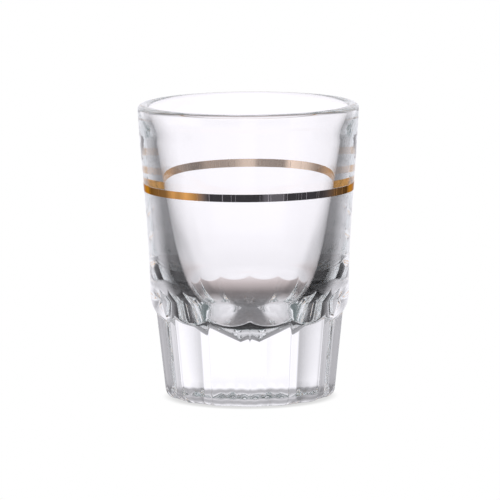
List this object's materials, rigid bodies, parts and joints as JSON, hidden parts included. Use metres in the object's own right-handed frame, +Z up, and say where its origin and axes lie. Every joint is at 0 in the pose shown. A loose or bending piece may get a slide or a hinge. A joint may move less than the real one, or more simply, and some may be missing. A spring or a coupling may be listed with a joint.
{
  "type": "shot glass",
  "caption": "Clear pressed shot glass: tapered thick wall with a rounded lip, solid fluted base under a rounded collar, and a gold fill line round the outside.",
  "frame": {"origin": "centre of the plane that the glass stands on", "axes": "+Z up along the axis of the glass; one ridge of the fluted base faces -Y"},
  "size_m": [0.054, 0.054, 0.072],
  "materials": {
    "clear_glass": "clear fire-polished pressed glass",
    "gold_line": "bright fired gold film, slightly worn"
  },
  "bodies": {
    "root": {"glass_body": "clear_glass", "gold_band": "gold_line"}
  },
  "joints": []
}
